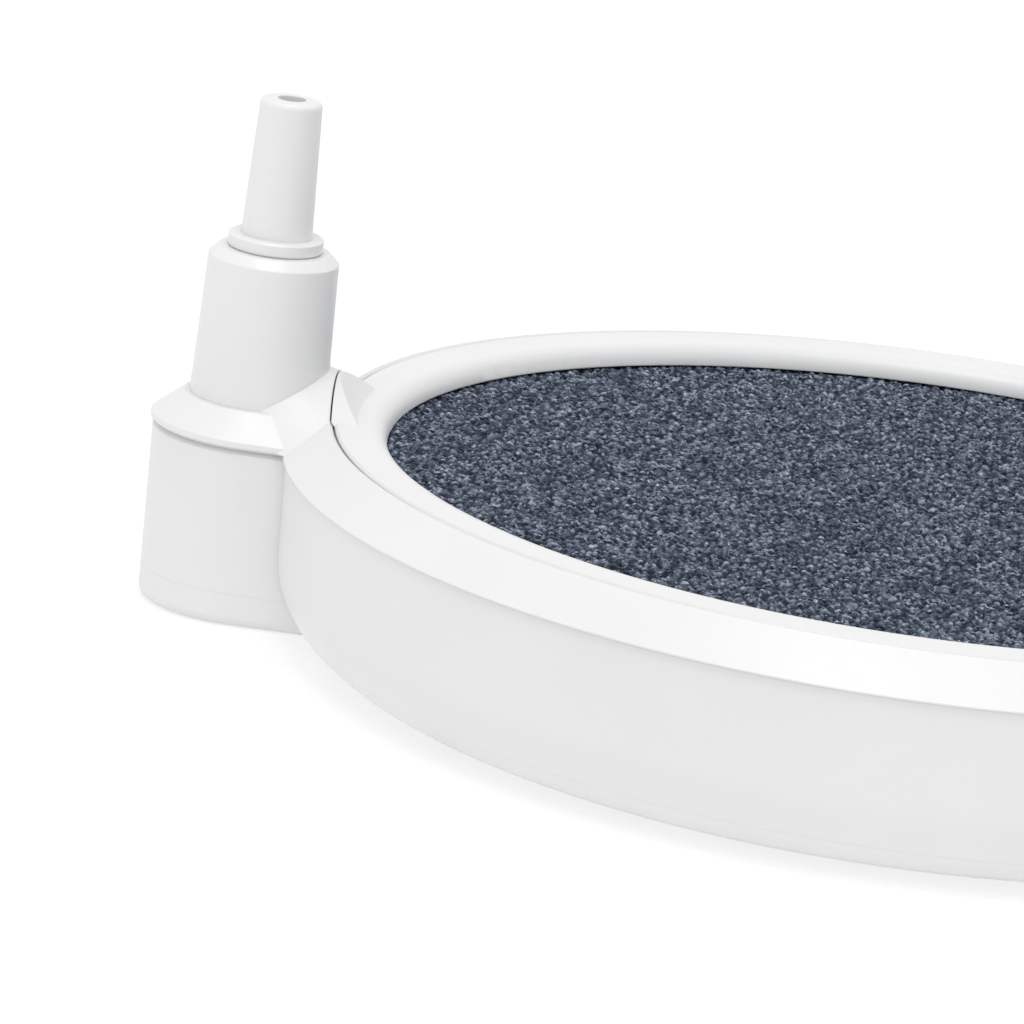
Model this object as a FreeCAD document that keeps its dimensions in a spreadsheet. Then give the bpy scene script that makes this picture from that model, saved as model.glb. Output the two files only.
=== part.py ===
import FreeCAD
import Part
import Sketcher

import math
import os

# Air stone: a porous mineral plate clamped in a shallow round plastic housing.
# A lobe on the -X side carries an upright hose inlet, and air reaches the underside
# of the plate through the hollow lobe and the chamber below the plate.
# Millimetres, +Z up, origin at the centre of the flat underside.

DRIVING = {
    # lower shell
    "shell_radius": 49.75,
    "shell_draft": 0.3,
    "seam_height": 14.25,
    "corner_radius": 6.6,
    "wall_thickness": 2.4,
    "floor_thickness": 2.0,
    "rim_chamfer": 0.35,
    "underside_recess": 0.5,
    "underside_recess_inner": 13.0,
    "underside_recess_outer": 34.0,
    # lobe and inlet, measured from the disc's axis and from the inlet's own axis
    "inlet_offset": 52.55,
    "lobe_radius": 8.0,
    "lobe_draft": 0.3,
    "lobe_fillet": 0.8,
    "flank_length": 14.0,
    "well_radius": 5.4,
    # tongue and groove that join cover and shell
    "lip_thickness": 0.75,
    "groove_width": 0.9,
    "groove_depth": 1.8,
    "tongue_clearance": 0.1,
    "bond_thickness": 0.3,
    # ribs that carry the plate
    "rib_count": 8,
    "rib_thickness": 1.6,
    "rib_inner": 12.0,
    "rib_outer": 38.0,
    "hub_outer": 6.0,
    "hub_inner": 4.4,
    # top cover
    "cover_radius": 50.0,
    "cover_lobe_radius": 8.2,
    "shadow_gap": 0.2,
    "shadow_gap_depth": 0.35,
    "edge_height": 0.45,
    "rim_edge_height": 0.1,
    "lid_height": 16.85,
    "lid_reach": 44.0,
    "deck_height": 17.1,
    "deck_radius": 46.6,
    "deck_lobe_radius": 5.8,
    "recess_radius": 46.35,
    "recess_floor": 13.65,
    "cup_shoulder_radius": 47.1,
    "cup_shoulder_height": 12.45,
    "cup_outer": 46.3,
    "cup_inner": 44.5,
    "cup_bottom": 5.8,
    "ledge_inner": 41.0,
    # how far joined solids sink into each other
    "lap": 0.3,
    # inlet boss
    "boss_foot_radius": 5.42,
    "boss_top_radius": 5.1,
    "boss_top": 28.7,
    "boss_edge": 0.75,
    "boss_core_radius": 3.6,
    "boss_core_top": 20.25,
    "shank_clearance": 0.02,
    "counterbore_radius": 3.2,
    "counterbore_depth": 0.6,
    # fairing that rises from the lid to the disc side of the boss
    "fairing_top_radius": 5.3,
    "fairing_foot_radius": 9.6,
    "fairing_depth": 4.4,
    "fairing_centre_offset": 0.8,
    "fairing_centre_height": 16.91,
    "fairing_tilt": 31.8,
    # mineral plate, its sealant and the retaining ring
    "plate_radius": 44.0,
    "plate_bottom": 7.3,
    "plate_top": 15.3,
    "plate_edge": 0.4,
    "ring_inner": 41.95,
    "ring_outer": 46.2,
    "ring_leg_inner": 44.6,
    "ring_edge": 0.2,
    "ring_lip": 0.1,
    "ramp_clearance": 0.12,
    "ramp_foot_radius": 44.4,
    "ramp_width": 1.8,
    "ramp_rise": 2.3,
    # hose nozzle
    "nozzle_bore": 1.1,
    "shank_radius": 2.6,
    "shank_bottom": 21.25,
    "collar_radius": 3.72,
    "collar_height": 1.1,
    "collar_edge": 0.15,
    "spigot_foot_radius": 2.79,
    "spigot_tip_radius": 2.43,
    "spigot_top": 40.6,
    "tip_round": 0.5,
}

SHEET = "Sizes"
# Cuts run past the faces they open by this much.
OVERRUN = 1.0


class Size:
    """A driving dimension, or a sum worked out from some: its number and its expression."""

    def __init__(self, value, text):
        self.value = float(value)
        self.text = text

    def __add__(self, other):
        other = as_size(other)
        return Size(self.value + other.value, f"({self.text} + {other.text})")

    def __sub__(self, other):
        other = as_size(other)
        return Size(self.value - other.value, f"({self.text} - {other.text})")

    def __neg__(self):
        return Size(-self.value, f"(-{self.text})")

    def __mul__(self, factor):
        return Size(self.value * factor, f"({self.text} * {factor})")


def as_size(number):
    """A bare number as a Size; a Size is returned as it is."""
    if isinstance(number, Size):
        return number
    return Size(number, str(number))


def size(name):
    """The driving dimension of that name."""
    return Size(DRIVING[name], f"{SHEET}.{name}")


doc = FreeCAD.newDocument("AirStone")
sheet = doc.addObject("Spreadsheet::Sheet", SHEET)
for row, (alias, number) in enumerate(DRIVING.items(), start=1):
    sheet.set(f"A{row}", alias)
    sheet.set(f"B{row}", str(number))
    sheet.setAlias(f"B{row}", alias)
doc.recompute()

ZERO = as_size(0)
SEAM = size("seam_height")
INLET_X = -size("inlet_offset")
# Added solids sink this far into the ones they join.
LAP = size("lap")


# ---- sketch and feature helpers ----

def new_body(label):
    """An empty body whose label names its file."""
    body = doc.addObject("PartDesign::Body", label)
    body.Label = label
    return body


def plane_of(body, role):
    """The body's own origin plane of that role, such as XY_Plane."""
    for feature in body.Origin.OriginFeatures:
        if feature.Role == role:
            return feature
    raise ValueError(f"{body.Label} has no {role}")


def new_sketch(body, name, role, height=None):
    """A sketch on one of the body's origin planes, raised along the plane's normal."""
    sketch = body.newObject("Sketcher::SketchObject", name)
    sketch.AttachmentSupport = [(plane_of(body, role), "")]
    sketch.MapMode = "FlatFace"
    if height is not None:
        sketch.AttachmentOffset = FreeCAD.Placement(
            FreeCAD.Vector(0, 0, height.value), FreeCAD.Rotation())
        sketch.setExpression(".AttachmentOffset.Base.z", height.text)
    return sketch


def bind(sketch, constraint, expression):
    """Add a dimensional constraint and tie its value to the sheet."""
    index = sketch.addConstraint(constraint)
    sketch.setExpression(f"Constraints[{index}]", expression)


def pin_point(sketch, edge, end, point):
    """Fix one end of an edge at a point, through the sheet."""
    across, along = point
    for kind, coordinate in (("DistanceX", across), ("DistanceY", along)):
        bind(sketch, Sketcher.Constraint(kind, -1, 1, edge, end, coordinate.value), coordinate.text)


def vector(point):
    """A sketch point as a vector."""
    return FreeCAD.Vector(point[0].value, point[1].value, 0)


def arc_about(centre, first, last):
    """An arc about a centre, anticlockwise from the first point to the last."""
    reach = vector(first) - vector(centre)
    whole = Part.Circle(vector(centre), FreeCAD.Vector(0, 0, 1), reach.Length)
    start = whole.parameter(vector(first))
    end = whole.parameter(vector(last))
    if end < start:
        end += math.tau
    return Part.ArcOfCircle(whole, start, end)


def outline(sketch, points, arcs=None, returns=()):
    """Close an outline through the points.

    arcs maps the index of a point to a centre, where the stretch that starts at that
    point is an arc instead of a straight line. An arc runs anticlockwise unless its
    index is in returns.
    """
    arcs = arcs or {}
    last = len(points) - 1
    edges = []
    for index, point in enumerate(points):
        following = points[0] if index == last else points[index + 1]
        if index in returns:
            shape = arc_about(arcs[index], following, point)
        elif index in arcs:
            shape = arc_about(arcs[index], point, following)
        else:
            shape = Part.LineSegment(vector(point), vector(following))
        edges.append(sketch.addGeometry(shape, False))
    for index, edge in enumerate(edges):
        following_index = 0 if index == last else index + 1
        end = 1 if index in returns else 2
        following_end = 2 if following_index in returns else 1
        sketch.addConstraint(Sketcher.Constraint(
            "Coincident", edge, end, edges[following_index], following_end))
    for index, point in enumerate(points):
        # a point is held on the straight edge that starts or ends there
        if index in arcs:
            pin_point(sketch, edges[index - 1], 2, point)
        else:
            pin_point(sketch, edges[index], 1, point)
    for index, centre in arcs.items():
        across = centre[0]
        bind(sketch, Sketcher.Constraint("DistanceX", -1, 1, edges[index], 3, across.value), across.text)


def circle(sketch, centre, radius):
    """A full circle in a sketch."""
    edge = sketch.addGeometry(
        Part.Circle(vector(centre), FreeCAD.Vector(0, 0, 1), radius.value), False)
    pin_point(sketch, edge, 3, centre)
    bind(sketch, Sketcher.Constraint("Radius", edge, radius.value), radius.text)


def tongue_shape(sketch, radius, end_x):
    """A U-shaped outline: a half round about the inlet's axis with two flanks to end_x."""
    points = [(end_x, radius), (INLET_X, radius), (INLET_X, -radius), (end_x, -radius)]
    outline(sketch, points, {1: (INLET_X, ZERO)})


def band(sketch, near, far, end_x):
    """A U-shaped band between two radii about the inlet's axis, open towards the disc."""
    centre = (INLET_X, ZERO)
    outline(sketch, [
        (end_x, far), (INLET_X, far), (INLET_X, -far), (end_x, -far),
        (end_x, -near), (INLET_X, -near), (INLET_X, near), (end_x, near)],
        {1: centre, 5: centre}, returns=(5,))


def feature(body, kind, name, sketch, **settings):
    """A sketch-based feature of the body."""
    made = body.newObject(f"PartDesign::{kind}", name)
    made.Profile = (sketch, [""])
    for key, value in settings.items():
        if isinstance(value, Size):
            setattr(made, key, value.value)
            made.setExpression(key, value.text)
        else:
            setattr(made, key, value)
    sketch.Visibility = False
    return made


def turned(body, name, points, arcs=None, cut=False, axis_x=None):
    """Revolve an outline in the XZ plane about Z, or about an upright axis at axis_x."""
    sketch = new_sketch(body, f"{name}_outline", "XZ_Plane")
    if axis_x is not None:
        sketch.AttachmentOffset = FreeCAD.Placement(
            FreeCAD.Vector(axis_x.value, 0, 0), FreeCAD.Rotation())
        sketch.setExpression(".AttachmentOffset.Base.x", axis_x.text)
    outline(sketch, points, arcs)
    kind = "Groove" if cut else "Revolution"
    return feature(body, kind, name, sketch, ReferenceAxis=(sketch, ["V_Axis"]), Angle=360.0)


def padded(body, name, draw, bottom, length, cut=False):
    """Extrude what draw(sketch) draws from the height bottom, up for a pad and down for a pocket."""
    sketch = new_sketch(body, f"{name}_outline", "XY_Plane", bottom)
    draw(sketch)
    kind = "Pocket" if cut else "Pad"
    return feature(body, kind, name, sketch, Length=length)


def lofted(body, name, lower, upper):
    """Loft between two sketches given as (height, draw function)."""
    sketches = []
    for stage, (height, draw) in zip(("foot", "top"), (lower, upper)):
        sketch = new_sketch(body, f"{name}_{stage}", "XY_Plane", height)
        draw(sketch)
        sketches.append(sketch)
    loft = feature(body, "AdditiveLoft", name, sketches[0], Ruled=True)
    loft.Sections = [(sketches[1], [""])]
    return loft


def inlet_round(body, kind, name, bottom, height, **radii):
    """A cone or cylinder on the inlet's axis, added to or cut from the body."""
    made = body.newObject(f"PartDesign::{kind}", name)
    made.AttachmentSupport = [(plane_of(body, "XY_Plane"), "")]
    made.MapMode = "FlatFace"
    made.AttachmentOffset = FreeCAD.Placement(
        FreeCAD.Vector(INLET_X.value, 0, bottom.value), FreeCAD.Rotation())
    made.setExpression(".AttachmentOffset.Base.x", INLET_X.text)
    made.setExpression(".AttachmentOffset.Base.z", bottom.text)
    for key, value in dict(radii, Height=height).items():
        setattr(made, key, value.value)
        made.setExpression(key, value.text)
    return made


def edge_names(shape, chosen):
    """Names of the shape's edges for which chosen(edge) is true."""
    return [f"Edge{number}" for number, edge in enumerate(shape.Edges, start=1) if chosen(edge)]


def dressed(body, kind, name, base, chosen, **settings):
    """A fillet or chamfer on the base feature's chosen edges."""
    doc.recompute()
    made = body.newObject(f"PartDesign::{kind}", name)
    made.Base = (base, edge_names(base.Shape, chosen))
    for key, value in settings.items():
        setattr(made, key, value.value)
        made.setExpression(key, value.text)
    return made


# ---- pieces ----

def groove_radii(outer):
    """Inner and outer radius of the joint groove in a wall whose outer radius is given."""
    far = outer - size("lip_thickness")
    return far - size("groove_width"), far


def make_lower_shell():
    """Dish with a rounded corner, the hollow lobe, the joint groove and the plate's ribs."""
    body = new_body("lower_shell")
    radius = size("shell_radius")
    corner = size("corner_radius")
    wall = size("wall_thickness")
    floor = size("floor_thickness")
    lobe_radius = size("lobe_radius")
    lobe_low = lobe_radius - size("lobe_draft")
    lobe_round = size("lobe_fillet")
    chamfer = size("rim_chamfer")
    turned(body, "lobe_end", [
        (ZERO, ZERO),
        (lobe_low - lobe_round, ZERO),
        (lobe_low, lobe_round),
        (lobe_radius, SEAM - chamfer),
        (lobe_radius - chamfer, SEAM),
        (ZERO, SEAM)],
        {1: (lobe_low - lobe_round, lobe_round)}, axis_x=INLET_X)
    flanks = new_sketch(body, "lobe_flanks_outline", "YZ_Plane", INLET_X)
    outline(flanks, [
        (-(lobe_low - lobe_round), ZERO),
        (lobe_low - lobe_round, ZERO),
        (lobe_low, lobe_round),
        (lobe_radius, SEAM - chamfer),
        (lobe_radius - chamfer, SEAM),
        (-(lobe_radius - chamfer), SEAM),
        (-lobe_radius, SEAM - chamfer),
        (-lobe_low, lobe_round)],
        {1: (lobe_low - lobe_round, lobe_round), 7: (-(lobe_low - lobe_round), lobe_round)})
    feature(body, "Pad", "lobe_flanks", flanks, Length=size("flank_length"))

    side = radius - size("shell_draft")
    recess = size("underside_recess")
    recess_outer = size("underside_recess_outer")
    recess_inner = size("underside_recess_inner")
    turned(body, "dish", [
        (ZERO, ZERO),
        (recess_inner, ZERO),
        (recess_inner + recess, recess),
        (recess_outer - recess, recess),
        (recess_outer, ZERO),
        (side - corner, ZERO),
        (side, corner),
        (radius, SEAM),
        (ZERO, SEAM)],
        {5: (side - corner, corner)})

    inside = radius - wall
    inner_corner = corner - floor
    turned(body, "chamber", [
        (ZERO, floor),
        (inside - inner_corner, floor),
        (inside, corner),
        (inside, SEAM + OVERRUN),
        (ZERO, SEAM + OVERRUN)],
        {1: (inside - inner_corner, corner)}, cut=True)

    well_end = -(inside - wall)
    padded(
        body, "lobe_well", lambda sketch: tongue_shape(sketch, size("well_radius"), well_end),
        SEAM, SEAM - floor, cut=True)

    near, far = groove_radii(radius)
    depth = size("groove_depth")
    turned(body, "rim_groove", [
        (near, SEAM - depth),
        (far, SEAM - depth),
        (far, SEAM + OVERRUN),
        (near, SEAM + OVERRUN)], cut=True)

    lobe_near, lobe_far = groove_radii(lobe_radius)
    padded(
        body, "lobe_groove", lambda sketch: band(sketch, lobe_near, lobe_far, -near),
        SEAM, depth, cut=True)

    plate_bottom = size("plate_bottom")
    half_rib = size("rib_thickness") * 0.5
    rib_inner = size("rib_inner")
    rib_outer = size("rib_outer")
    rib = padded(
        body, "rib",
        lambda sketch: outline(sketch, [
            (rib_inner, -half_rib), (rib_outer, -half_rib), (rib_outer, half_rib), (rib_inner, half_rib)]),
        floor - LAP, plate_bottom - floor + LAP)
    pattern = body.newObject("PartDesign::PolarPattern", "rib_pattern")
    pattern.Originals = [rib]
    pattern.Axis = (rib.Profile[0], ["N_Axis"])
    pattern.Angle = 360.0
    pattern.Occurrences = DRIVING["rib_count"]
    pattern.setExpression("Occurrences", size("rib_count").text)
    body.Tip = pattern

    turned(body, "hub", [
        (size("hub_inner"), floor - LAP),
        (size("hub_outer"), floor - LAP),
        (size("hub_outer"), plate_bottom),
        (size("hub_inner"), plate_bottom)])
    return body


def make_fairing(body, foot):
    """A mound about the boss: a cone on a leaning axis, highest towards the disc, cut off at its foot."""
    centre_x = INLET_X + size("fairing_centre_offset")
    centre_z = size("fairing_centre_height")
    lean = size("fairing_tilt") + as_size(180)
    mound = body.newObject("PartDesign::AdditiveCone", "fairing")
    mound.AttachmentSupport = [(plane_of(body, "XY_Plane"), "")]
    mound.MapMode = "FlatFace"
    mound.AttachmentOffset = FreeCAD.Placement(
        FreeCAD.Vector(centre_x.value, 0, centre_z.value),
        FreeCAD.Rotation(FreeCAD.Vector(0, -1, 0), lean.value))
    mound.setExpression(".AttachmentOffset.Base.x", centre_x.text)
    mound.setExpression(".AttachmentOffset.Base.z", centre_z.text)
    for key, name in (("Radius1", "fairing_top_radius"), ("Radius2", "fairing_foot_radius"),
                      ("Height", "fairing_depth")):
        setattr(mound, key, size(name).value)
        mound.setExpression(key, size(name).text)
    reach = size("fairing_foot_radius") * 2
    padded(
        body, "fairing_trim", lambda sketch: circle(sketch, (INLET_X, ZERO), reach),
        foot, foot, cut=True)


def make_top_cover():
    """Sloped rim and lobe lid, the plate's cup, the joint tongue and the inlet boss."""
    body = new_body("top_cover")
    radius = size("cover_radius")
    lobe_radius = size("cover_lobe_radius")
    deck = size("deck_height")
    lid = size("lid_height")
    gap_top = SEAM + size("shadow_gap")
    edge_top = gap_top + size("edge_height")
    gap_depth = size("shadow_gap_depth")
    reach_x = -size("lid_reach")

    make_fairing(body, gap_top)
    padded(
        body, "lid_step", lambda sketch: tongue_shape(sketch, lobe_radius - gap_depth, reach_x),
        SEAM, size("shadow_gap") + LAP)
    padded(
        body, "lid_edge", lambda sketch: tongue_shape(sketch, lobe_radius, reach_x),
        gap_top, size("edge_height"))
    lofted(
        body, "lid_slope",
        (edge_top, lambda sketch: tongue_shape(sketch, lobe_radius, reach_x)),
        (lid, lambda sketch: tongue_shape(sketch, size("deck_lobe_radius"), reach_x)))

    recess = size("recess_radius")
    shoulder = size("cup_shoulder_radius")
    shoulder_height = size("cup_shoulder_height")
    cup_outer = size("cup_outer")
    cup_bottom = size("cup_bottom")
    turned(body, "deck", [
        (ZERO, cup_bottom),
        (cup_outer, cup_bottom),
        (cup_outer, shoulder_height - (shoulder - cup_outer)),
        (shoulder, shoulder_height),
        (shoulder, SEAM),
        (radius, SEAM),
        (radius, SEAM + size("rim_edge_height")),
        (size("deck_radius"), deck),
        (ZERO, deck)])

    cup_inner = size("cup_inner")
    plate_bottom = size("plate_bottom")
    recess_floor = size("recess_floor")
    lip = size("deck_radius") - recess
    above_fairing = size("boss_top")
    turned(body, "cup", [
        (ZERO, cup_bottom - OVERRUN),
        (size("ledge_inner"), cup_bottom - OVERRUN),
        (size("ledge_inner"), plate_bottom),
        (cup_inner, plate_bottom),
        (cup_inner, recess_floor),
        (recess, recess_floor),
        (recess, deck - lip),
        (recess + lip, deck),
        (recess + lip, above_fairing),
        (ZERO, above_fairing)], cut=True)

    clearance = size("tongue_clearance")
    reach = size("groove_depth") - size("bond_thickness")
    near, far = groove_radii(size("shell_radius"))
    turned(body, "rim_tongue", [
        (near + clearance, SEAM - reach),
        (far - clearance, SEAM - reach),
        (far - clearance, SEAM + LAP),
        (near + clearance, SEAM + LAP)])

    lobe_near, lobe_far = groove_radii(size("lobe_radius"))
    padded(
        body, "lobe_tongue",
        lambda sketch: band(sketch, lobe_near + clearance, lobe_far - clearance, -(near + clearance)),
        SEAM - reach, reach + LAP)

    boss_foot = size("boss_foot_radius")
    boss_top = size("boss_top")
    inlet_round(
        body, "AdditiveCone", "boss", lid - LAP, boss_top - lid + LAP,
        Radius1=boss_foot, Radius2=size("boss_top_radius"))
    inlet_round(
        body, "SubtractiveCylinder", "boss_core", SEAM - OVERRUN,
        size("boss_core_top") - SEAM + OVERRUN, Radius=size("boss_core_radius"))
    inlet_round(
        body, "SubtractiveCylinder", "boss_bore", SEAM, boss_top - SEAM + OVERRUN,
        Radius=size("shank_radius") + size("shank_clearance"))
    bored = inlet_round(
        body, "SubtractiveCylinder", "boss_counterbore", boss_top - size("counterbore_depth"),
        size("counterbore_depth") + OVERRUN, Radius=size("counterbore_radius"))

    def on_boss_edge(edge):
        box = edge.BoundBox
        wide = box.XLength > 2 * DRIVING["counterbore_radius"] + 1
        return box.ZMin > boss_top.value - 0.01 and wide

    dressed(body, "Chamfer", "boss_chamfer", bored, on_boss_edge, Size=size("boss_edge"))
    return body


def make_turned_piece(label, points, arcs=None, on_inlet=False):
    """A piece that is one turned solid about the disc's axis or the inlet's."""
    body = new_body(label)
    turned(body, f"{label}_turned", points, arcs)
    if on_inlet:
        body.Placement = FreeCAD.Placement(
            FreeCAD.Vector(INLET_X.value, 0, 0), FreeCAD.Rotation())
        body.setExpression(".Placement.Base.x", INLET_X.text)
    return body


def rectangle(near, far, low, high):
    """The four corners of a turned piece's plain section."""
    return [(near, low), (far, low), (far, high), (near, high)]


def make_stone_plate():
    """Sintered mineral disc with eased edges."""
    radius = size("plate_radius")
    low = size("plate_bottom")
    high = size("plate_top")
    ease = size("plate_edge")
    return make_turned_piece("stone_plate", [
        (ZERO, low), (radius - ease, low), (radius, low + ease),
        (radius, high - ease), (radius - ease, high), (ZERO, high)])


def make_retaining_ring():
    """Ring over the plate's edge, with a leg in the cover's recess.

    It is rounded towards the plate, and a ramp beside the boss carries the fairing on down to it.
    """
    body = new_body("retaining_ring")
    inner = size("ring_inner")
    outer = size("ring_outer")
    leg = size("ring_leg_inner")
    top = size("deck_height")
    foot = size("recess_floor") + size("bond_thickness")
    ease = size("ring_edge")
    curve = top - size("plate_top") - size("ring_lip")

    make_fairing(body, top - LAP)
    near = size("recess_radius") - size("ramp_clearance")
    lip = size("deck_radius") - size("recess_radius")
    turned(body, "ramp_outside", [
        (near, foot), (near * 2, foot), (near * 2, size("boss_top")),
        (near + lip, size("boss_top")), (near + lip, top), (near, top - lip)], cut=True)
    ramp_foot = size("ramp_foot_radius")
    ramp_width = size("ramp_width")
    ramp_rise = size("ramp_rise")
    turned(body, "ramp_slope", [
        (ZERO, top - ramp_rise),
        (ramp_foot - ramp_width, top - ramp_rise),
        (ramp_foot + ramp_width * 2, top + ramp_rise * 2),
        (ZERO, top + ramp_rise * 2)], cut=True)

    turned(body, "ring", [
        (inner, size("plate_top")), (leg, size("plate_top")), (leg, foot), (outer, foot),
        (outer, top - ease), (outer - ease, top), (inner + curve, top), (inner, top - curve)],
        {6: (inner + curve, top - curve)})
    return body


def make_hose_nozzle():
    """Tapered hose spigot with a stop collar and a shank that sits in the boss."""
    bore = size("nozzle_bore")
    shank = size("shank_radius")
    collar = size("collar_radius")
    ease = size("collar_edge")
    boss_top = size("boss_top")
    collar_top = boss_top + size("collar_height")
    tip = size("spigot_tip_radius")
    tip_round = size("tip_round")
    top = size("spigot_top")
    return make_turned_piece("hose_nozzle", [
        (bore, size("shank_bottom")),
        (shank, size("shank_bottom")),
        (shank, boss_top),
        (collar - ease, boss_top),
        (collar, boss_top + ease),
        (collar, collar_top - ease),
        (collar - ease, collar_top),
        (size("spigot_foot_radius"), collar_top),
        (tip, top - tip_round),
        (tip - tip_round, top),
        (bore, top)],
        {8: (tip - tip_round, top - tip_round)}, on_inlet=True)


def make_seam_bond():
    """Adhesive at the bottom of the joint groove, round the disc and round the lobe."""
    body = new_body("seam_bond_bead")
    near, far = groove_radii(size("shell_radius"))
    lobe_near, lobe_far = groove_radii(size("lobe_radius"))
    low = SEAM - size("groove_depth")
    high = low + size("bond_thickness")
    turned(body, "rim_bead", rectangle(near, far, low, high))
    padded(body, "lobe_bead", lambda sketch: band(sketch, lobe_near, lobe_far, -near), low, high - low)
    padded(
        body, "well_mouth",
        lambda sketch: outline(sketch, [
            (INLET_X, -size("well_radius")), (-near + OVERRUN, -size("well_radius")),
            (-near + OVERRUN, size("well_radius")), (INLET_X, size("well_radius"))]),
        high + OVERRUN, high - low + OVERRUN * 2, cut=True)
    return body


def make_beads():
    """The other adhesive and sealant beads, each a plain ring."""
    bond = size("bond_thickness")
    recess_floor = size("recess_floor")
    boss_top = size("boss_top")
    return [
        make_turned_piece("plate_sealant", rectangle(
            size("plate_radius"), size("cup_inner"), size("plate_bottom"), recess_floor)),
        make_turned_piece("ring_bond_bead", rectangle(
            size("ring_leg_inner"), size("ring_outer"), recess_floor, recess_floor + bond)),
        make_turned_piece("nozzle_bond_bead", rectangle(
            size("shank_radius"), size("counterbore_radius"),
            boss_top - size("counterbore_depth"), boss_top), on_inlet=True),
    ]


pieces = [
    make_lower_shell(),
    make_top_cover(),
    make_stone_plate(),
    make_retaining_ring(),
    make_hose_nozzle(),
    make_seam_bond(),
    *make_beads(),
]
doc.recompute()

for item in doc.Objects:
    if "Invalid" in item.State or "Error" in item.State:
        raise RuntimeError(f"{item.Label} failed: {item.State}")
for piece in pieces:
    shape = piece.Shape
    if shape.isNull() or not shape.isValid() or len(shape.Solids) != 1:
        raise RuntimeError(f"{piece.Label} isn't one valid solid")

os.makedirs("parts", exist_ok=True)
for piece in pieces:
    piece.Shape.exportStep(f"parts/{piece.Label}.step")
    box = piece.Shape.BoundBox
    print(f"{piece.Label}: volume {piece.Shape.Volume:.1f} mm3, "
          f"z {box.ZMin:.2f} to {box.ZMax:.2f}, x {box.XMin:.2f} to {box.XMax:.2f}")
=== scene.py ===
"""A round air stone: a grey mineral plate in a white moulded housing, with an upright hose inlet."""
import math

import bpy
import numpy as np
from mathutils import Matrix, Vector


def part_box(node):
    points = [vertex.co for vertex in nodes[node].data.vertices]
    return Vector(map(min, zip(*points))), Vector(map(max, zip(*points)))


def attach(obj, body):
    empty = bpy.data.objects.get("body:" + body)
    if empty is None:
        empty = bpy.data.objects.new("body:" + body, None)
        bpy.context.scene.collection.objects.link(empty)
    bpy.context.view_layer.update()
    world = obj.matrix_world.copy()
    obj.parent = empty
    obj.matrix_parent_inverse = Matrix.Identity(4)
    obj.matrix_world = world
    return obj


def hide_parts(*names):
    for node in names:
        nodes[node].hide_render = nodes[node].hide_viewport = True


MM = 0.001

# Camera
CAMERA_AZIMUTH = math.radians(3.15)
CAMERA_ELEVATION = math.radians(15.0)
CAMERA_ROLL = math.radians(7.22)
CAMERA_DISTANCE = 450 * MM
CAMERA_SIDEWAYS = -31.61 * MM
CAMERA_LIFT = -3.34 * MM
AIM_HEIGHT = 14.25 * MM
FOCAL_LENGTH = 202.96
SENSOR_WIDTH = 36.0

# Studio light: an even white room and one large lamp high in front, a little to the left
WORLD_LIGHT = 0.86
KEY_LIGHT = 52.0
KEY_PLACE = (-0.20, -1.05, 3.80)
KEY_WIDTH = 2.1
FLOOR_GLOW = 0.66            # the paper is lit from behind, so it stays white round the object

# The porous plate
PLATE_CELLS = 290            # grid cells from the centre to the rim
PLATE_RELIEF = 0.42 * MM     # how deep the gaps between grains go
PLATE_HOLLOWS = 0.06 * MM    # slow unevenness of the pressed face
PLATE_GRAIN = 0.54 * MM      # spacing of the grains
PLATE_EASE = 0.4 * MM        # rounding of the rim
PLATE_SEED = 7
RIM_SINK = 0.02 * MM         # the rim starts this far below the face
GRAIN_GAP = 0.62             # how far out from a grain its gap is deepest, in grain spacings
GRID_SPAN = 100 * MM         # the jittered grid of grains covers this width
WAVE_COUNT = 14
WAVE_LENGTHS = (4, 16)       # shortest and longest wave of the pressed face, in millimetres

# Colours
WHITE = (0.80, 0.80, 0.80)
# warm grey of the painted shade in crevices of the white plastic
CREVICE_SHADE = (0.46, 0.45, 0.43)
PARTING_LINE = (0.55, 0.55, 0.55)
PARTING_HEIGHT = 2.65 * MM   # level of the mould line on the shell
SILICONE = (0.70, 0.72, 0.72)
RESIN = (0.78, 0.74, 0.64)

FLOOR_HALF_WIDTH = 4.0
FLOOR_DROP = 0.02 * MM       # keeps the paper clear of the part's underside


# ---------------------------------------------------------------- node helpers

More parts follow.
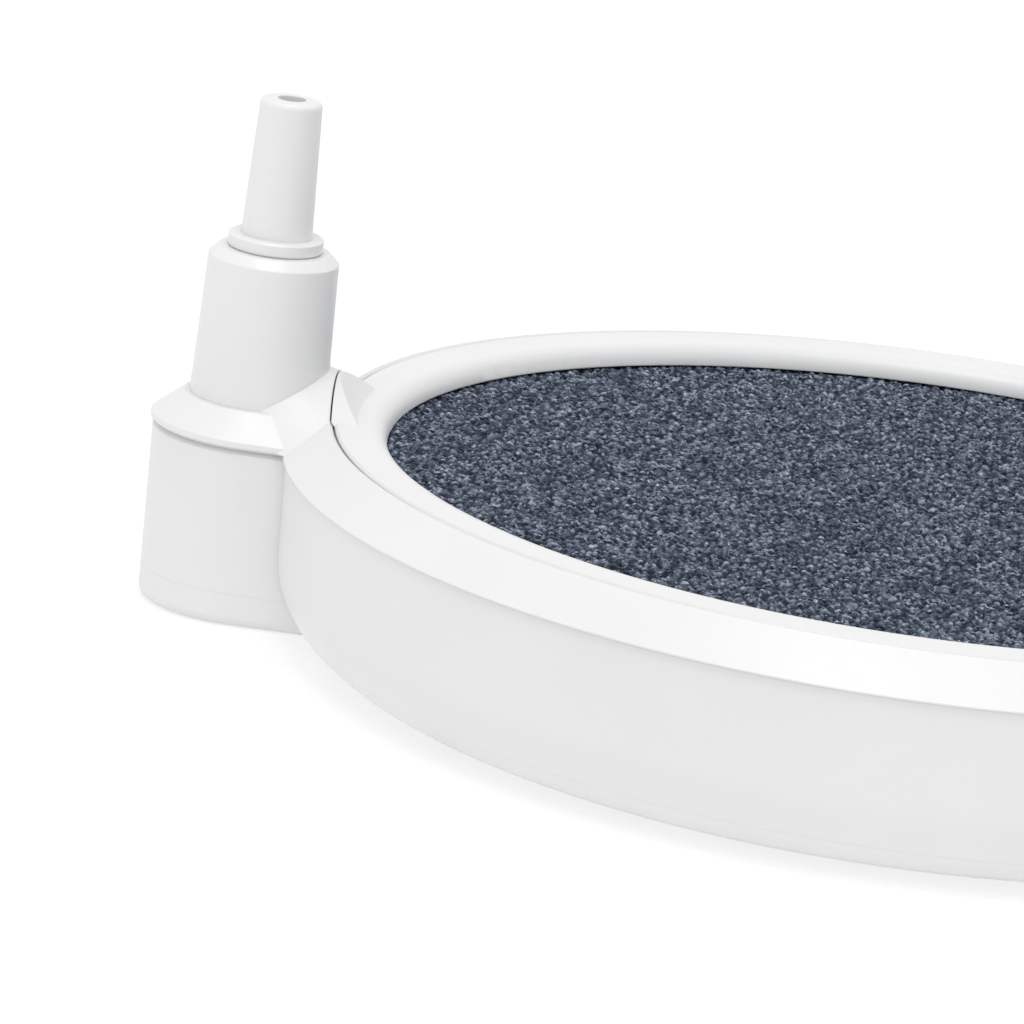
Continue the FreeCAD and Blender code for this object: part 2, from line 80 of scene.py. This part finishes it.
class Shader:
    """A material and its node tree, with short ways to add the nodes used here."""

    def __init__(self, name):
        self.material = bpy.data.materials.new(name)
        self.material.use_nodes = True
        self.tree = self.material.node_tree
        self.tree.nodes.clear()
        self.output = self.tree.nodes.new("ShaderNodeOutputMaterial")
        self.surface = self.tree.nodes.new("ShaderNodeBsdfPrincipled")
        self.link(self.surface.outputs["BSDF"], self.output.inputs["Surface"])
        coordinates = self.tree.nodes.new("ShaderNodeTexCoord")
        self.place = coordinates.outputs["Object"]

    def link(self, start, end):
        self.tree.links.new(start, end)

    def connect(self, value, socket):
        """Sets a socket to a number, or links it to another socket."""
        if isinstance(value, (int, float, tuple)):
            socket.default_value = value
        else:
            self.link(value, socket)

    def noise(self, size, detail=2.0, roughness=0.5, place=None):
        """Soft noise whose features are about size metres across."""
        node = self.tree.nodes.new("ShaderNodeTexNoise")
        node.inputs["Scale"].default_value = 1.0 / size
        node.inputs["Detail"].default_value = detail
        node.inputs["Roughness"].default_value = roughness
        self.link(place or self.place, node.inputs["Vector"])
        return node.outputs["Fac"]

    def cells(self, size, place=None):
        """Irregular cells about size metres across: (distance, random colour)."""
        node = self.tree.nodes.new("ShaderNodeTexVoronoi")
        node.inputs["Scale"].default_value = 1.0 / size
        self.link(place or self.place, node.inputs["Vector"])
        return node.outputs["Distance"], node.outputs["Color"]

    def math(self, operation, a, b=0.0, clamp=False):
        node = self.tree.nodes.new("ShaderNodeMath")
        node.operation = operation
        node.use_clamp = clamp
        self.connect(a, node.inputs[0])
        self.connect(b, node.inputs[1])
        return node.outputs["Value"]

    def ranged(self, value, low, high, out_low, out_high):
        """Maps low..high to out_low..out_high, held at the ends."""
        node = self.tree.nodes.new("ShaderNodeMapRange")
        self.link(value, node.inputs["Value"])
        node.inputs["From Min"].default_value = low
        node.inputs["From Max"].default_value = high
        node.inputs["To Min"].default_value = out_low
        node.inputs["To Max"].default_value = out_high
        return node.outputs["Result"]

    def attribute(self, name):
        """A number stored on the mesh's points."""
        node = self.tree.nodes.new("ShaderNodeAttribute")
        node.attribute_name = name
        return node.outputs["Fac"]

    def channel(self, colour, index):
        node = self.tree.nodes.new("ShaderNodeSeparateColor")
        self.link(colour, node.inputs["Color"])
        return node.outputs[index]

    def ramp(self, value, stops):
        """A colour ramp through (position, colour) stops."""
        node = self.tree.nodes.new("ShaderNodeValToRGB")
        elements = node.color_ramp.elements
        while len(elements) < len(stops):
            elements.new(1.0)
        for element, (position, colour) in zip(elements, stops):
            element.position = position
            element.color = (*colour, 1.0)
        self.link(value, node.inputs["Fac"])
        return node.outputs["Color"]

    def mixed(self, factor, first, second, mode="MIX"):
        """Mixes two colours, each a socket or an (r, g, b)."""
        node = self.tree.nodes.new("ShaderNodeMix")
        node.data_type = "RGBA"
        node.blend_type = mode
        self.connect(factor, node.inputs[0])
        for value, socket in ((first, node.inputs[6]), (second, node.inputs[7])):
            self.connect((*value, 1.0) if isinstance(value, tuple) else value, socket)
        return node.outputs[2]

    def soft_normal(self, radius):
        """The surface normal as if every edge were rounded by radius."""
        node = self.tree.nodes.new("ShaderNodeBevel")
        node.samples = 6
        node.inputs["Radius"].default_value = radius
        return node.outputs["Normal"]

    def edge_mask(self, soft):
        """1 along convex and concave edges, 0 on open faces."""
        geometry = self.tree.nodes.new("ShaderNodeNewGeometry")
        node = self.tree.nodes.new("ShaderNodeVectorMath")
        node.operation = "DOT_PRODUCT"
        self.link(soft, node.inputs[0])
        self.link(geometry.outputs["Normal"], node.inputs[1])
        return self.ranged(node.outputs["Value"], 0.999, 0.80, 0.0, 1.0)

    def level_line(self, height, width):
        """1 on a thin level line at that height, fading to 0 a width away."""
        node = self.tree.nodes.new("ShaderNodeSeparateXYZ")
        self.link(self.place, node.inputs["Vector"])
        away = self.math("ABSOLUTE", self.math("SUBTRACT", node.outputs["Z"], height))
        return self.ranged(away, 0.0, width, 1.0, 0.0)

    def shelter(self, distance):
        """1 in the open and 0 deep in a crevice."""
        node = self.tree.nodes.new("ShaderNodeAmbientOcclusion")
        node.samples = 8
        node.inputs["Distance"].default_value = distance
        return node.outputs["AO"]

    def bump(self, height, depth, strength=1.0, normal=None):
        node = self.tree.nodes.new("ShaderNodeBump")
        node.inputs["Strength"].default_value = strength
        node.inputs["Distance"].default_value = depth
        self.link(height, node.inputs["Height"])
        if normal is not None:
            self.link(normal, node.inputs["Normal"])
        return node.outputs["Normal"]


# ------------------------------------------------------------------- materials

def scaled(tone, factor):
    """A colour made lighter or darker, held at 1."""
    return tuple(min(1.0, c * factor) for c in tone)


def moulded_plastic(name, tone, roughness, edge_radius, parting_height=None):
    """White satin ABS: faint clouding, a fine mould texture, polished edges with a painted highlight
    along them, painted shade in the corners.

    parting_height is where the two halves of the mould met, and leaves a faint line.
    """
    s = Shader(name)
    clouds = s.noise(14 * MM, detail=3.0)
    speckle = s.noise(0.35 * MM, detail=2.0)
    base = s.ramp(clouds, [(0.30, scaled(tone, 0.975)), (0.70, tone)])
    grained = s.mixed(s.ranged(speckle, 0.35, 0.65, 0.0, 0.05), base, scaled(tone, 0.90))
    soft = s.soft_normal(edge_radius)
    edges = s.edge_mask(soft)
    # painted highlight: the colour is lightened along convex and concave edges
    edge_highlit = s.mixed(s.math("MULTIPLY", edges, 0.35), grained, scaled(tone, 1.06))
    # painted shade: the colour darkens towards a warm grey where ambient occlusion finds a crevice
    crevice_shade = s.ranged(s.shelter(1.2 * MM), 0.25, 0.95, 0.22, 0.0)
    colour = s.mixed(crevice_shade, edge_highlit, CREVICE_SHADE)
    if parting_height is not None:
        witness = s.level_line(parting_height, 0.12 * MM)
        colour = s.mixed(s.math("MULTIPLY", witness, 0.16), colour, PARTING_LINE)
    s.link(colour, s.surface.inputs["Base Color"])
    patches = s.noise(5 * MM, detail=4.0, roughness=0.6)
    gloss = s.ranged(patches, 0.3, 0.7, roughness - 0.05, roughness + 0.06)
    s.link(s.math("SUBTRACT", gloss, s.math("MULTIPLY", edges, 0.06)), s.surface.inputs["Roughness"])
    skin = s.noise(0.22 * MM, detail=3.0, roughness=0.6)
    waves = s.noise(9 * MM, detail=1.0)
    wavy = s.bump(waves, 0.05 * MM, 0.35, normal=soft)
    s.link(s.bump(skin, 0.006 * MM, 0.35, normal=wavy), s.surface.inputs["Normal"])
    s.surface.inputs["IOR"].default_value = 1.5
    s.surface.inputs["Specular IOR Level"].default_value = 0.5
    s.surface.inputs["Subsurface Weight"].default_value = 0.08
    s.surface.inputs["Subsurface Radius"].default_value = (1.0, 0.95, 0.9)
    s.surface.inputs["Subsurface Scale"].default_value = 0.8 * MM
    return s.material


def mineral(name):
    """Pressed mineral grains, navy to pale grey-blue, painted lighter on the grain tops and with
    painted shade in the gaps between them, and a few bright crystals.
    """
    s = Shader(name)
    distance, tint = s.cells(0.36 * MM)
    small_distance, small_tint = s.cells(0.20 * MM)
    height = s.attribute("grain_height")
    shade = s.math("ADD", s.math("MULTIPLY", s.channel(tint, 0), 0.48),
                   s.math("MULTIPLY", s.channel(small_tint, 0), 0.22))
    # painted light: the higher a point of the relief, the lighter its colour
    tone_with_lit_tops = s.math("ADD", shade, s.ranged(height, 0.15, 0.95, 0.0, 0.30))
    grain = s.ramp(tone_with_lit_tops, [
        (0.22, (0.006, 0.009, 0.019)),
        (0.40, (0.027, 0.037, 0.060)),
        (0.56, (0.089, 0.112, 0.156)),
        (0.70, (0.205, 0.245, 0.315)),
        (0.90, (0.50, 0.56, 0.64)),
    ])
    warm_grains = s.ranged(s.channel(tint, 1), 0.78, 1.0, 0.0, 0.45)
    warm = s.mixed(warm_grains, grain, (0.125, 0.095, 0.140))
    green_grains = s.ranged(s.channel(tint, 2), 0.78, 1.0, 0.0, 0.40)
    green = s.mixed(green_grains, warm, (0.085, 0.130, 0.115))
    clouds = s.noise(7 * MM, detail=3.0)
    clouded = s.mixed(s.ranged(clouds, 0.35, 0.65, 0.0, 0.12), green, (0.060, 0.072, 0.095))
    # painted shade: the low gaps between grains are darkened towards near black
    gap_shade = s.ranged(height, 0.45, 0.10, 0.0, 0.75)
    s.link(s.mixed(gap_shade, clouded, (0.010, 0.014, 0.024)), s.surface.inputs["Base Color"])
    sparkle = s.ranged(s.channel(small_tint, 1), 0.86, 1.0, 0.92, 0.42)
    s.link(sparkle, s.surface.inputs["Roughness"])
    domes = s.math("SUBTRACT", 1.0, distance, clamp=True)
    rounded = s.bump(domes, 0.25 * MM, 0.7)
    fine = s.math("SUBTRACT", 1.0, small_distance, clamp=True)
    s.link(s.bump(fine, 0.08 * MM, 0.7, normal=rounded), s.surface.inputs["Normal"])
    s.surface.inputs["IOR"].default_value = 1.45
    s.surface.inputs["Specular IOR Level"].default_value = 0.2
    return s.material


def cured_bead(name, tone, roughness, wobble):
    """Cured sealant or adhesive: slightly cloudy, with small ripples where it was drawn out."""
    s = Shader(name)
    clouds = s.noise(1.6 * MM, detail=3.0)
    bubbles, _ = s.cells(0.5 * MM)
    base = s.ramp(clouds, [(0.3, scaled(tone, 0.86)), (0.7, tone)])
    spots = s.ranged(bubbles, 0.05, 0.22, 0.35, 0.0)
    s.link(s.mixed(spots, base, scaled(tone, 1.15)), s.surface.inputs["Base Color"])
    gloss = s.ranged(clouds, 0.3, 0.7, roughness - 0.08, roughness + 0.08)
    s.link(gloss, s.surface.inputs["Roughness"])
    ripples = s.noise(0.8 * MM, detail=2.0)
    s.link(s.bump(ripples, wobble, 0.5), s.surface.inputs["Normal"])
    s.surface.inputs["IOR"].default_value = 1.43
    s.surface.inputs["Subsurface Weight"].default_value = 0.3
    s.surface.inputs["Subsurface Radius"].default_value = (1.0, 0.9, 0.8)
    s.surface.inputs["Subsurface Scale"].default_value = 0.6 * MM
    return s.material


def pale_floor(name):
    """Matt white studio paper, lit from behind, with a barely visible tooth."""
    s = Shader(name)
    tooth = s.noise(0.9 * MM, detail=3.0)
    s.link(s.ramp(tooth, [(0.3, (0.32, 0.32, 0.32)), (0.7, (0.34, 0.34, 0.34))]),
           s.surface.inputs["Base Color"])
    s.surface.inputs["Emission Color"].default_value = (1.0, 1.0, 1.0, 1.0)
    s.surface.inputs["Emission Strength"].default_value = FLOOR_GLOW
    s.surface.inputs["Roughness"].default_value = 0.95
    s.surface.inputs["Specular IOR Level"].default_value = 0.1
    return s.material


def dress(piece, material):
    """Gives a piece one material in its own slot."""
    piece.data.materials.clear()
    piece.data.materials.append(material)
    return piece


# ----------------------------------------------------------------- porous plate

def nearest_grain(x, y, spacing, random):
    """Distance to the nearest grain of a jittered grid, and that grain's random number."""
    count = int(GRID_SPAN / spacing) + 4
    jitter = random.random((count, count, 3))
    column = np.floor(x / spacing).astype(int) + count // 2
    row = np.floor(y / spacing).astype(int) + count // 2
    best = np.full(x.shape, 1e9)
    value = np.zeros(x.shape)
    for across in (-1, 0, 1):
        for along in (-1, 0, 1):
            cell = jitter[(column + across) % count, (row + along) % count]
            gx = (column + across - count // 2 + cell[..., 0]) * spacing
            gy = (row + along - count // 2 + cell[..., 1]) * spacing
            distance = np.hypot(x - gx, y - gy)
            closer = distance < best
            best = np.where(closer, distance, best)
            value = np.where(closer, cell[..., 2], value)
    return best, value


def slow_waves(x, y, random):
    """Gentle unevenness from 0 to 1, a sum of a few long waves."""
    total = np.zeros(x.shape)
    for _ in range(WAVE_COUNT):
        length = random.uniform(*WAVE_LENGTHS) * MM
        heading = random.uniform(0, 2 * math.pi)
        phase = random.uniform(0, 2 * math.pi)
        along = x * math.cos(heading) + y * math.sin(heading)
        total += np.sin(2 * math.pi * along / length + phase)
    return np.clip(0.5 + total / WAVE_COUNT, 0, 1)


def disc_grid(cells, radius):
    """A square grid of points spread evenly over a disc."""
    steps = np.linspace(-1, 1, 2 * cells + 1)
    u, v = np.meshgrid(steps, steps, indexing="ij")
    r = np.maximum(np.abs(u), np.abs(v))
    wide = np.abs(u) >= np.abs(v)
    lean = np.where(wide, v / np.where(np.abs(u) > 0, u, 1), u / np.where(np.abs(v) > 0, v, 1))
    angle = np.where(wide, lean, 2 - lean) * math.pi / 4
    sign = np.where(wide, np.sign(u), np.sign(v))
    return r * radius * np.cos(angle) * sign, r * radius * np.sin(angle) * sign


def plate_side(radius, low, high):
    """(radius, height) of each ring from the rounded rim, down the side and in under the plate."""
    profile = []
    for step in (30, 60, 90):
        turn = math.radians(step)
        reach = radius - PLATE_EASE * (1 - math.sin(turn))
        profile.append((reach, high - PLATE_EASE * (1 - math.cos(turn)) - RIM_SINK))
    for share in (0.25, 0.5, 0.75, 1.0):
        profile.append((radius, high - PLATE_EASE - share * (high - PLATE_EASE - low)))
    profile += [(radius * share, low) for share in (0.97, 0.8, 0.5, 0.2)]
    return profile


def stone_plate(node):
    """The pressed plate: grains stand out of its top face, and gaps run between them."""
    low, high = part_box(node)
    radius = (high.x - low.x) / 2
    centre = (low + high) / 2
    random = np.random.default_rng(PLATE_SEED)
    x, y = disc_grid(PLATE_CELLS, radius - PLATE_EASE)
    distance, chance = nearest_grain(x, y, PLATE_GRAIN, random)
    gap = np.clip(distance / (GRAIN_GAP * PLATE_GRAIN), 0, 1) ** 2
    drop = PLATE_RELIEF * (0.60 * gap + 0.40 * chance) + PLATE_HOLLOWS * slow_waves(x, y, random)
    z = high.z - drop
    side = 2 * PLATE_CELLS + 1
    index = np.arange(side * side).reshape(side, side)
    quads = np.stack([index[:-1, :-1], index[1:, :-1], index[1:, 1:], index[:-1, 1:]], -1)
    points = np.stack([x + centre.x, y + centre.y, z], -1).reshape(-1, 3)
    loop = np.concatenate([index[:-1, 0], index[-1, :-1], index[:0:-1, -1], index[0, :0:-1]])
    rim = points[loop]
    outward = (rim[:, :2] - np.array(centre)[:2]) / (radius - PLATE_EASE)
    rings = [points]
    strips = [quads.reshape(-1, 4)]
    last = loop
    offset = len(points)
    for reach, height in plate_side(radius, low.z, high.z):
        ring = np.column_stack([outward * reach + np.array(centre)[:2], np.full(len(loop), height)])
        fresh = offset + np.arange(len(loop))
        strips.append(np.stack([last, np.roll(last, -1), np.roll(fresh, -1), fresh], -1)[:, ::-1])
        rings.append(ring)
        last = fresh
        offset += len(loop)
    middle = np.array([[centre.x, centre.y, low.z]])
    rings.append(middle)
    fan = [(int(b), int(a), offset) for a, b in zip(last, np.roll(last, -1))]
    mesh = bpy.data.meshes.new("pressed_plate")
    mesh.from_pydata(np.concatenate(rings).tolist(), [], np.concatenate(strips).tolist() + fan)
    mesh.validate()
    mesh.shade_smooth()
    height = mesh.attributes.new("grain_height", "FLOAT", "POINT")
    level = np.zeros(len(mesh.vertices), np.float32)
    level[:side * side] = 1 - drop.reshape(-1) / (PLATE_RELIEF + PLATE_HOLLOWS)
    height.data.foreach_set("value", level)
    plate = bpy.data.objects.new("pressed_plate", mesh)
    bpy.context.scene.collection.objects.link(plate)
    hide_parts(node)
    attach(plate, "root")
    return dress(plate, mineral("mineral_grains"))


# -------------------------------------------------------------------- the studio

def studio_floor():
    """A wide sheet of white paper under the part."""
    mesh = bpy.data.meshes.new("floor")
    half = FLOOR_HALF_WIDTH
    corners = [(-half, -half, 0), (half, -half, 0), (half, half, 0), (-half, half, 0)]
    mesh.from_pydata(corners, [], [(0, 1, 2, 3)])
    floor = bpy.data.objects.new("floor", mesh)
    bpy.context.scene.collection.objects.link(floor)
    floor.location.z = -FLOOR_DROP
    return dress(floor, pale_floor("studio_paper"))


def soft_light(name, place, aim, width, height, power):
    """A large rectangular light at place, pointing at aim."""
    lamp = bpy.data.lights.new(name, "AREA")
    lamp.shape = "RECTANGLE"
    lamp.size = width
    lamp.size_y = height
    lamp.energy = power
    holder = bpy.data.objects.new(name, lamp)
    holder.location = place
    holder.rotation_euler = (Vector(aim) - Vector(place)).to_track_quat("-Z", "Y").to_euler()
    bpy.context.scene.collection.objects.link(holder)
    return holder


def studio_light():
    """An even white room and one soft lamp."""
    world = bpy.data.worlds.new("studio")
    world.use_nodes = True
    background = world.node_tree.nodes["Background"]
    background.inputs["Color"].default_value = (1.0, 1.0, 1.0, 1.0)
    background.inputs["Strength"].default_value = WORLD_LIGHT
    bpy.context.scene.world = world
    soft_light("key", KEY_PLACE, (0, 0, 0.01), KEY_WIDTH, KEY_WIDTH, KEY_LIGHT)
    bpy.context.scene.view_settings.view_transform = "Standard"


def camera():
    """A long lens low in front of the part, rolled a little about its own axis."""
    back = Vector((math.sin(CAMERA_AZIMUTH) * math.cos(CAMERA_ELEVATION),
                   -math.cos(CAMERA_AZIMUTH) * math.cos(CAMERA_ELEVATION),
                   math.sin(CAMERA_ELEVATION)))
    right = Vector((math.cos(CAMERA_AZIMUTH), math.sin(CAMERA_AZIMUTH), 0))
    up = back.cross(right)
    target = Vector((0, 0, AIM_HEIGHT)) + right * CAMERA_SIDEWAYS + up * CAMERA_LIFT
    x_axis = right * math.cos(CAMERA_ROLL) + up * math.sin(CAMERA_ROLL)
    y_axis = up * math.cos(CAMERA_ROLL) - right * math.sin(CAMERA_ROLL)
    lens = bpy.data.cameras.new("camera")
    lens.lens = FOCAL_LENGTH
    lens.sensor_width = SENSOR_WIDTH
    lens.clip_start = 0.01
    lens.clip_end = 20.0
    holder = bpy.data.objects.new("camera", lens)
    turned = Matrix((x_axis, y_axis, back)).transposed().to_4x4()
    holder.matrix_world = Matrix.Translation(target + back * CAMERA_DISTANCE) @ turned
    bpy.context.scene.collection.objects.link(holder)
    bpy.context.scene.camera = holder


# ------------------------------------------------------------------ the object

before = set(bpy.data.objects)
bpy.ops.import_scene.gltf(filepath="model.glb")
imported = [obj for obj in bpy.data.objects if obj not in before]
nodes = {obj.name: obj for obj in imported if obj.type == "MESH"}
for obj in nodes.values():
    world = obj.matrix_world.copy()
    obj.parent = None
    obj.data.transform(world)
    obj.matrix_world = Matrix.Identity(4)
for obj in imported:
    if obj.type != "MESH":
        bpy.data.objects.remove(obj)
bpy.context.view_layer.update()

dress(nodes["lower_shell"], moulded_plastic("shell_plastic", WHITE, 0.38, 0.25 * MM, PARTING_HEIGHT))
dress(nodes["top_cover"], moulded_plastic("cover_plastic", WHITE, 0.34, 0.20 * MM))
dress(nodes["retaining_ring"], moulded_plastic("ring_plastic", WHITE, 0.36, 0.15 * MM))
dress(nodes["hose_nozzle"], moulded_plastic("nozzle_plastic", WHITE, 0.36, 0.12 * MM))
dress(nodes["plate_sealant"], cured_bead("silicone", SILICONE, 0.35, 0.05 * MM))
for bead in ("seam_bond_bead", "ring_bond_bead", "nozzle_bond_bead"):
    dress(nodes[bead], cured_bead(bead + "_resin", RESIN, 0.28, 0.03 * MM))
stone_plate("stone_plate")

studio_floor()
studio_light()
camera()
